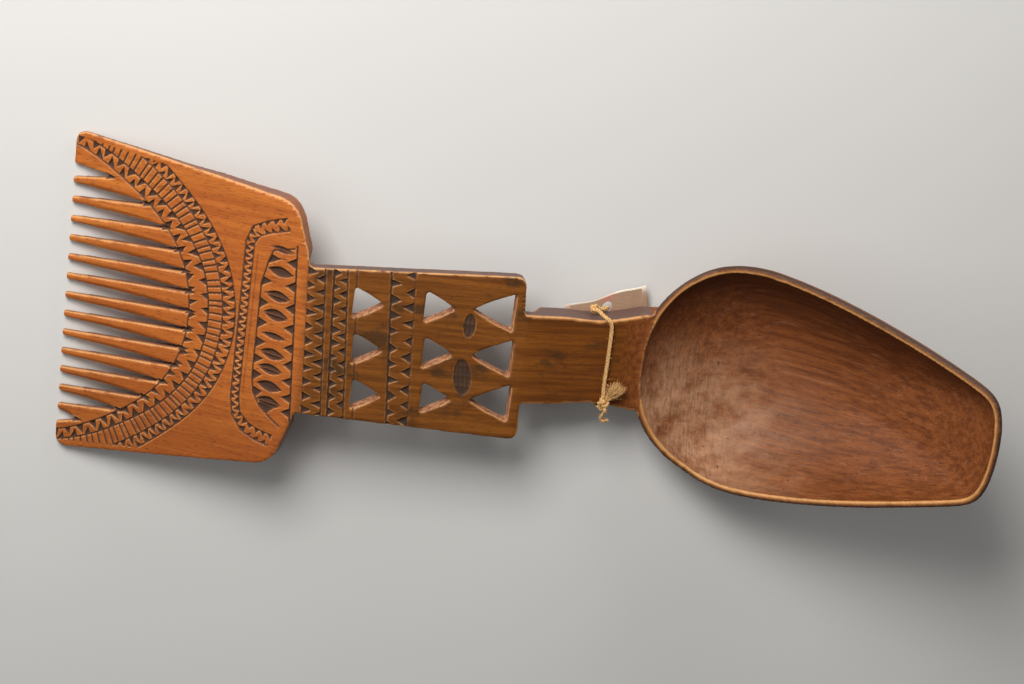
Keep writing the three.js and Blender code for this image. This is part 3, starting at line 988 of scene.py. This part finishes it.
# %% Add grain, smudges, grime, wear, painted shade, painted sheen and painted highlights
smudge = w.between(blotches, 0.52, 0.68) * past_bend * (1 - past_neck) * 0.75
tone = w.mix(smudge, tone, rgb(58, 40, 20))
tone = w.mix(w.between(fine_grain, 0.5, 0.78) * 0.35, tone, rgb(84, 46, 22), "MULTIPLY")
tone = w.mix(w.between(specks, 0.6, 0.72) * 0.4, tone, rgb(96, 54, 30))
dashes = w.between(w.grain((0.4, 3.0, 3.0), 2, 0.5), 0.6, 0.67)
tone = w.mix(dashes * 0.6, tone, rgb(70, 38, 20))
hollow_mask = w.stored("hollow")
# Painted sheen: a pale patch low on the bowl's inside wall, towards the neck, broken up by noise.
sheen_breakup = w.noise((0.07, 0.12, 0.12), 6, 0.72, 0.2)
strokes = w.noise((1.5, 0.22, 0.22), 4, 0.7, 0.4)
pale = w.between(sheen_breakup, 0.26, 0.70) * hollow_mask * w.between(across, 14, -14)
pale = pale * w.between(run, 96, 52)
tone = w.mix(pale * 0.85, tone, rgb(200, 156, 122))
rubbed = w.between(strokes, 0.46, 0.62) * hollow_mask * w.between(run, 84, 48)
tone = w.mix(rubbed * 0.45, tone, rgb(82, 50, 32))
# Painted shade: the bowl's upper inside wall, which faces away from the main lamp, is darkened.
tone = w.mix(hollow_mask * w.between(across, 0, 30) * 0.55, tone, rgb(64, 26, 8))
scratch_field = w.grain((0.03, 1.1, 1.1), 4, 0.7, 0.6)
scratches = w.between(scratch_field, 0.56, 0.70) * hollow_mask
tone = w.mix(scratches * 0.15, tone, rgb(196, 158, 130))
spots = w.between(w.noise((0.7, 0.7, 0.7), 2, 0.5), 0.68, 0.74) * hollow_mask
tone = w.mix(spots * 0.6, tone, rgb(58, 32, 18))
cut = w.stored("cut")
# Grime and painted shade: the cuts are darkened.
tone = w.mix((cut ** 0.6) * 0.92, tone, rgb(52, 40, 34))
# Painted shade in the concave places.
tone = w.mix(w.stored("dip") * 0.45, tone, rgb(64, 40, 24))
wall_noise = w.noise((0.7, 0.7, 0.7), 4, 0.7)
wall_tone = w.mix(w.between(wall_noise, 0.35, 0.65), rgb(132, 86, 58), rgb(196, 142, 108))
tone = w.mix(w.stored("rough_wall") * 0.9, tone, wall_tone)
# Painted reflection: a cool grey mauve sheen on the side faces.
tone = w.mix(w.stored("outer_side") * 0.7, tone, rgb(92, 78, 78))
# Painted shade on the rim's outer side, then a painted highlight along its inner side.
tone = w.mix(w.stored("rim_shade") * 0.85, tone, rgb(52, 34, 24))
tone = w.mix(w.stored("rim_line") * 0.5, tone, rgb(206, 152, 88))
# Real wear on the sharp edges plus a painted highlight on the sides that face the main lamp.
wear_and_highlight = w.stored("bright_edge") * w.between(w.noise((0.3, 0.3, 0.3), 3), 0.25, 0.5)
wear_and_highlight = wear_and_highlight * (1 - w.stored("rim_shade"))
tone = w.mix(wear_and_highlight * 0.8, tone, rgb(226, 166, 104))

# %% Give it a surface
roughness = 0.46 + grain * 0.12 + cut * 0.3 + w.stored("rough_wall") * 0.25
roughness = (roughness + hollow_mask * 0.08).clipped()
wood_material = w.finish(
    {"Base Color": tone, "Roughness": roughness, "Specular IOR Level": 0.3},
    [
        (grain, 0.25, 0.00025),
        (fine_grain, 0.35, 0.00012),
        (scratch_field * (0.3 + hollow_mask), 0.3, 0.0002),
        (wall_noise * w.stored("rough_wall"), 0.8, 0.0006),
    ],
)
wood.data.materials.append(wood_material)
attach(wood, "wood")
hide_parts("carved_comb_spoon")
print("wood finished")

# %% [markdown]
# ## The twine
#
# The loop is a soft vegetable twine of three thin plies laid round each other.
# A plain tube would look like wire, so each stretch is three thin tubes wound
# along the same route, with short loose fibres standing off them. The route's
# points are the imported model's own, in the twine's axes: x down the neck, y
# across it and z out of its face.

# %% Find the twine's axes
SIDE_REACH = 13.575
TAG_TOP = -9.3
HOLE_AHEAD = 1.6
OVER_FACE = 0.925
UNDER_TAG = -10.725
KNOT_RADIUS = 1.5
STRAND_RADIUS = 0.625
KNOT_OFF = KNOT_RADIUS + 0.3 + STRAND_RADIUS * 0.4
SIDE_KNOT = (-4.2, SIDE_REACH + 1.0, -4.6)
FRONT_KNOT = (0.4, -11.5, OVER_FACE + 0.9)

joints = {j["name"]: j for j in frame["joints"]}
neck_ahead = Vector(joints["twine_slide"]["axis"])
neck_out = Vector(joints["tag_swing"]["axis"])
hole_place = Vector(joints["tag_swing"]["pos_m"])
twine_start = (
    hole_place - (neck_out * TAG_TOP + neck_ahead * HOLE_AHEAD) * MM
    - Vector((0, SIDE_REACH * MM, 0))
)


def on_neck(point):
    x, y, z = point
    return twine_start + (neck_ahead * x + neck_out * z + Vector((0, y, 0))) * MM


# %% Smooth a route and wind tubes along it


def smooth_route(points, steps=12):
    """Catmull-Rom through the points, in mm."""
    pts = [Vector(p) for p in points]
    pts = [pts[0] * 2 - pts[1], *pts, pts[-1] * 2 - pts[-2]]
    route = []
    for a, b, c, d in zip(pts, pts[1:], pts[2:], pts[3:]):
        for i in range(steps):
            t = i / steps
            route.append(0.5 * (
                2 * b + (c - a) * t + (2 * a - 5 * b + 4 * c - d) * t * t
                + (3 * b - a - 3 * c + d) * t ** 3
            ))
    route.append(pts[-2])
    return route


def even_route(route, step):
    """The same route with points a step apart."""
    lengths = [0.0]
    for a, b in zip(route, route[1:]):
        lengths.append(lengths[-1] + (b - a).length)
    count = max(int(lengths[-1] / step), 2)
    flat = np.array(route)
    at = np.linspace(0, lengths[-1], count + 1)
    return [Vector([np.interp(t, lengths, flat[:, k]) for k in range(3)]) for t in at]


def frames_along(route):
    """A side and an up direction at each point that never twist."""
    side = None
    sides = []
    for i, point in enumerate(route):
        ahead = (route[min(i + 1, len(route) - 1)] - route[max(i - 1, 0)]).normalized()
        if side is None:
            side = ahead.orthogonal().normalized()
        side = (side - ahead * side.dot(ahead)).normalized()
        sides.append((side, ahead.cross(side)))
    return sides


class Bundle:
    """Collects tubes into one mesh."""

    def __init__(self):
        self.vertices = []
        self.faces = []

    def tube(self, route, radius, sides=6, taper=None):
        """A closed tube; taper gives the radius share from 0 to 1 along it."""
        start = len(self.vertices)
        for i, (point, (side, up)) in enumerate(zip(route, frames_along(route))):
            share = taper(i / (len(route) - 1)) if taper else 1.0
            for k in range(sides):
                turn = 2 * math.pi * k / sides
                way = side * math.cos(turn) + up * math.sin(turn)
                self.vertices.append(on_neck(point + way * radius * share))
        for i in range(len(route) - 1):
            for k in range(sides):
                a, b = start + i * sides + k, start + i * sides + (k + 1) % sides
                self.faces.append((a, b, b + sides, a + sides))
        self.faces.append(tuple(start + k for k in reversed(range(sides))))
        last = start + (len(route) - 1) * sides
        self.faces.append(tuple(last + k for k in range(sides)))

    def plies(self, route, turn_length=3.4, count=3, size=1.0, start_turn=0.0):
        """Plies wound round a route."""
        route = even_route(route, 0.28)
        frames = frames_along(route)
        ply_radius, lay = 0.30 * size, 0.31 * size
        for ply in range(count):
            line = []
            for i, (point, (side, up)) in enumerate(zip(route, frames)):
                turn = 2 * math.pi * (i * 0.28 / turn_length + ply / count) + start_turn
                line.append(point + (side * math.cos(turn) + up * math.sin(turn)) * lay)
            self.tube(line, ply_radius, 7)

    def hairs(self, route, count, reach, rng):
        """Short loose fibres that stand off a route."""
        route = even_route(route, 0.3)
        for _ in range(count):
            i = int(rng.integers(1, len(route) - 1))
            ahead = (route[i + 1] - route[i - 1]).normalized()
            way = Vector(rng.normal(0, 1, 3)).normalized()
            way = (way - ahead * way.dot(ahead) * 0.6).normalized()
            root = route[i] + way * 0.45
            length = reach * rng.uniform(0.4, 1.2)
            bend = ahead * rng.uniform(-0.7, 0.7) + Vector(rng.normal(0, 0.25, 3))
            line = [root + way * length * t + bend * length * t * t for t in (0, 0.33, 0.66, 1)]
            self.tube(line, 0.045, 4, lambda t: 1 - 0.6 * t)

    def piece(self, name, node):
        made = mesh_object(name, self.vertices, self.faces)
        made.data.materials.append(twine_material)
        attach(made, "twine")
        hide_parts(node)
        print(name, len(self.faces), "faces")
        return made


# %% [markdown]
# ### Twine's finish
#
# Undyed bast twine is straw coloured with darker flecks, and it has no gloss.
# Fine noise along every axis breaks the colour up at the scale of a fibre.

# %% Colour the twine
t = Shader("twine")
fibre = t.noise((2.2, 2.2, 2.2), 5, 0.7)
flecks = t.noise((0.6, 0.6, 0.6), 3)
straw = t.mix(t.between(fibre, 0.3, 0.7), rgb(168, 118, 68), rgb(236, 196, 136))
straw = t.mix(t.between(flecks, 0.58, 0.75) * 0.5, straw, rgb(128, 84, 48))
twine_material = t.finish(
    {"Base Color": straw, "Roughness": 0.85, "Specular IOR Level": 0.2},
    [(fibre, 0.7, 0.0002)],
)
print("twine coloured")

# %% Lay the strands
sx, sy, sz = SIDE_KNOT
fx, fy, fz = FRONT_KNOT
FRONT_ROUTE = [
    (sx + 0.7, sy, sz + KNOT_OFF), (sx + 1.6, SIDE_REACH + 0.2, -0.9),
    (-1.6, SIDE_REACH - 0.4, OVER_FACE * 0.9), (-0.4, SIDE_REACH - 2.6, OVER_FACE + 0.1),
    (0, 2, OVER_FACE), (0.1, -6, OVER_FACE), (0.3, fy + KNOT_OFF + 0.2, OVER_FACE),
]
BACK_ROUTE = [
    (fx, fy - KNOT_OFF, OVER_FACE + 0.2), (0.3, -SIDE_REACH - 0.1, -0.6),
    (0, -SIDE_REACH - 0.1, -4.5), (0, -SIDE_REACH + 0.2, -9.3),
    (0, -SIDE_REACH + 2.4, UNDER_TAG), (0, 0, UNDER_TAG),
    (HOLE_AHEAD * 0.6, SIDE_REACH - 2.8, UNDER_TAG),
    (HOLE_AHEAD, SIDE_REACH - 0.3, UNDER_TAG + 0.6), (HOLE_AHEAD, SIDE_REACH, TAG_TOP + 0.4),
    (-0.6, SIDE_REACH + 0.1, TAG_TOP + 2.4),
    (sx + 0.5, sy, sz - KNOT_OFF),
]
TAIL_ROUTE = [
    (fx + 0.4, fy - KNOT_OFF - 0.1, fz + 1.2), (fx + 0.5, -SIDE_REACH - 1.1, OVER_FACE + 0.9),
    (fx + 0.3, -SIDE_REACH - 3.2, 0.5),
]
twine_rng = np.random.default_rng(21)


def lay_strand(name, node, points, hairs):
    bundle = Bundle()
    route = smooth_route(points)
    bundle.plies(route)
    bundle.hairs(route, hairs, 0.9, twine_rng)
    return bundle.piece(name, node)


lay_strand("twine_over_face", "front_strand", [(sx, sy, sz + 0.6), *FRONT_ROUTE, (fx, fy, fz)], 46)
lay_strand("twine_round_back", "back_strand", [(fx, fy, fz), *BACK_ROUTE, (sx, sy, sz)], 60)

# %% Tie the knots


def tie_knot(name, node, centre, ahead, size, fluff, seed):
    """An overhand knot: the strand's own trefoil, drawn tight."""
    bundle = Bundle()
    ahead = Vector(ahead).normalized()
    side = ahead.orthogonal().normalized()
    up = ahead.cross(side)
    route = []
    for i in range(61):
        turn = 2 * math.pi * i / 60
        reach = size * (0.62 + 0.30 * math.cos(3 * turn))
        route.append(
            Vector(centre)
            + side * reach * math.cos(2 * turn)
            + up * reach * math.sin(2 * turn)
            + ahead * size * 0.42 * math.sin(3 * turn)
        )
    bundle.plies(route, 2.6, 3, 0.92)
    bundle.hairs(route, 26, fluff, np.random.default_rng(seed))
    return bundle.piece(name, node)


tie_knot("knot_on_side", "side_knot", SIDE_KNOT, (0.3, 0.2, 1), 1.08, 0.25, 3)
tie_knot("knot_on_face", "front_knot", FRONT_KNOT, (0.1, 1, 0.1), 1.45, 0.9, 5)

# %% Leave a short tail
tail = Bundle()
hook = [
    (fx, fy, fz), *TAIL_ROUTE,
    (fx + 1.4, -SIDE_REACH - 4.0, 0.6), (fx + 2.6, -SIDE_REACH - 3.4, 1.0),
]
tail.plies(smooth_route(hook), 3.4, 3, 0.85)
tail.hairs(smooth_route(hook), 16, 0.9, twine_rng)
tail.piece("twine_tail", "string_tail")

# %% [markdown]
# ### The frayed end
#
# Where the twine was cut, its fibres have opened like a small brush. A brush is
# many thin curved hairs that share a root, so it is made hair by hair, with a
# fixed seed so that it is the same each time.

# %% Fray the end
brush = Bundle()
brush_rng = np.random.default_rng(11)
root = Vector((fx + 0.4, fy + 0.8, fz))
ahead = Vector((2.7, 4.2, 0.6)).normalized()
side = ahead.orthogonal().normalized()
up = ahead.cross(side)
clumps = [(brush_rng.uniform(0, 2 * math.pi), brush_rng.uniform(0.2, 1)) for _ in range(11)]
for hair in range(260):
    turn, spread = clumps[hair % len(clumps)]
    turn += brush_rng.normal(0, 0.3)
    spread = abs(spread + brush_rng.normal(0, 0.16))
    length = 6.0 * brush_rng.uniform(0.6, 1.1) * (1 - 0.1 * spread)
    out = side * math.cos(turn) + up * math.sin(turn)
    curl = Vector(brush_rng.normal(0, 0.5, 3))
    line = []
    for i in range(7):
        s = i / 6
        line.append(
            root + ahead * length * s + out * spread * (0.7 + 1.9 * s ** 0.9) + curl * s * s
        )
    brush.tube(line, 0.085, 4, lambda t: 1 - 0.4 * t)
brush.piece("frayed_end", "frayed_tuft")

# %% [markdown]
# ## The paper tag
#
# The tag is thin card that has taken a curl. It is cut as a grid so that it can
# bend, with a ring of points round the punched hole. It hangs from the hole
# behind the neck, so its curl goes away from the wood.

# %% Cut and curl the card
TAG = {
    "width": 25.0, "height": 20.0, "thickness": 0.34, "hole": 1.6, "from_edge": 3.3,
    "lean": math.radians(14.0),
}


def card_outline(angle):
    """How far the card's edge is from the hole, in one direction."""
    c, s = math.cos(angle), math.sin(angle)
    limits = []
    if abs(c) > 1e-6:
        limits.append(TAG["width"] / 2 / abs(c))
    if s > 1e-6:
        limits.append(TAG["from_edge"] / s)
    if s < -1e-6:
        limits.append((TAG["height"] - TAG["from_edge"]) / -s)
    return min(limits)


def card_corners():
    top, low = TAG["from_edge"], TAG["from_edge"] - TAG["height"]
    half = TAG["width"] / 2
    return [math.atan2(y, x) for x, y in ((half, top), (-half, top), (-half, low), (half, low))]


def card_curl(a, b):
    """How far the card has curled out of flat, away from the neck."""
    rise = 0.35 * math.cos((a + 2) * 0.26) - 0.35
    corner = 1.1 * max(a / 12.5, 0) ** 2
    return -(0.25 + corner * 0.4 - rise * 0.5 + 0.003 * b * b)


angles = sorted([*np.linspace(-math.pi, math.pi, 160, endpoint=False), *card_corners()])
RINGS = 26
grid = []
edge_light = []
for layer in (0, 1):
    for ring in range(RINGS + 1):
        for angle in angles:
            reach = TAG["hole"] + (card_outline(angle) - TAG["hole"]) * ring / RINGS
            a, b = reach * math.cos(angle), reach * math.sin(angle)
            b += (0.35 * math.sin(a * 0.4) + 0.06 * a) * max(b, 0) / TAG["from_edge"]
            leaning = Matrix.Rotation(TAG["lean"], 2) @ Vector((a, b))
            z = card_curl(a, b) - layer * TAG["thickness"]
            grid.append(on_neck((HOLE_AHEAD + leaning.x, SIDE_REACH + leaning.y, TAG_TOP + z)))
            edge_light.append(max(b / TAG["from_edge"], 0) ** 3 * (ring > RINGS - 4))
count = len(angles)
card_faces = []
for ring in range(RINGS):
    for k in range(count):
        a, b = ring * count + k, ring * count + (k + 1) % count
        c, d = b + count, a + count
        low = (RINGS + 1) * count
        card_faces.append((a, d, c, b))
        card_faces.append((a + low, b + low, c + low, d + low))
for ring in (0, RINGS):
    for k in range(count):
        a, b = ring * count + k, ring * count + (k + 1) % count
        low = (RINGS + 1) * count
        wall_face = (a, b, b + low, a + low) if ring == 0 else (b, a, a + low, b + low)
        card_faces.append(wall_face)
card = mesh_object("paper_card", grid, card_faces, smooth=False)
# Painted highlight: the card's top edge is marked to be bright.
store(card.data, "top_edge", np.clip(edge_light, 0, 1))
print("card", len(card_faces), "faces")

# %% Colour the card
p = Shader("tag_card")
pulp = p.noise((1.6, 1.6, 1.6), 5, 0.7)
age = p.noise((0.10, 0.10, 0.10), 4, 0.6)
# Painted shade: the card's face is given a brown grey, as it stands in shade behind the neck.
card_tone = p.mix(p.between(pulp, 0.3, 0.7), rgb(158, 128, 106), rgb(172, 142, 118))
card_tone = p.mix(p.between(age, 0.45, 0.75) * 0.6, card_tone, rgb(132, 92, 72))
# Painted highlight on the card's top edge.
card_tone = p.mix(p.stored("top_edge"), card_tone, rgb(244, 236, 218))
stain = p.noise((0.14, 0.22, 0.22), 2)
card_tone = p.mix(p.between(stain, 0.55, 0.7) * 0.4, card_tone, rgb(196, 112, 100))
card.data.materials.append(p.finish(
    {"Base Color": card_tone, "Roughness": 0.8, "Specular IOR Level": 0.25},
    [(pulp, 0.4, 0.0001)],
))
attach(card, "tag")
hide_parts("paper_tag")

# %% [markdown]
# ## Measure and finish
#
# The visual model's box is measured and printed, in mm.

# %% Write the sizes
low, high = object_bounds()
print("visual box", [round(v / MM, 2) for v in (*low, *high)], "mm")
